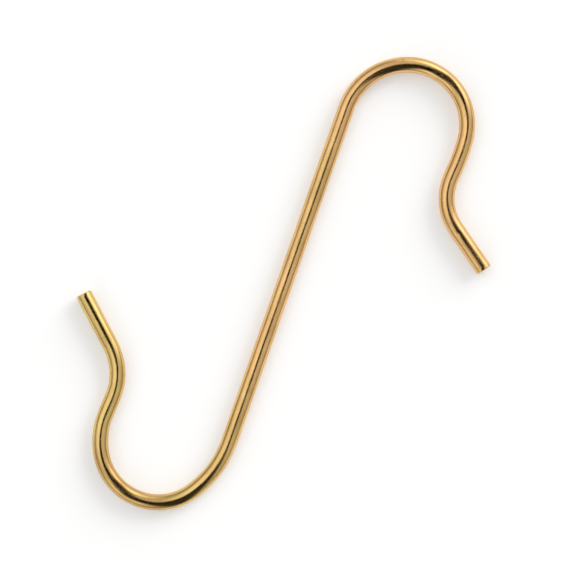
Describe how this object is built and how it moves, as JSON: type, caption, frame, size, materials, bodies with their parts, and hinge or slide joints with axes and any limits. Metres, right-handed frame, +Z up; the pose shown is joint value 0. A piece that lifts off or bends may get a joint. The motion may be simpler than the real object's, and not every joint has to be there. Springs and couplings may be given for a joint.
{
  "type": "ornament hook",
  "caption": "S-shaped hanging hook bent from round brass wire: a straight shank, open bends curling opposite ways, and necks that turn back into flared tails with blunt cut ends.",
  "frame": {"origin": "middle of the hook's bounding box in X and Y, on the plane that it lies flat on", "axes": "+Z up out of the plane of the flat hook, +Y along the straight shank towards the bend that curls to +X"},
  "size_m": [0.0322, 0.044, 0.0014],
  "materials": {
    "brass_wire": "satin drawn wire, slightly tarnished"
  },
  "bodies": {
    "root": {"hook": "brass_wire"}
  },
  "joints": []
}
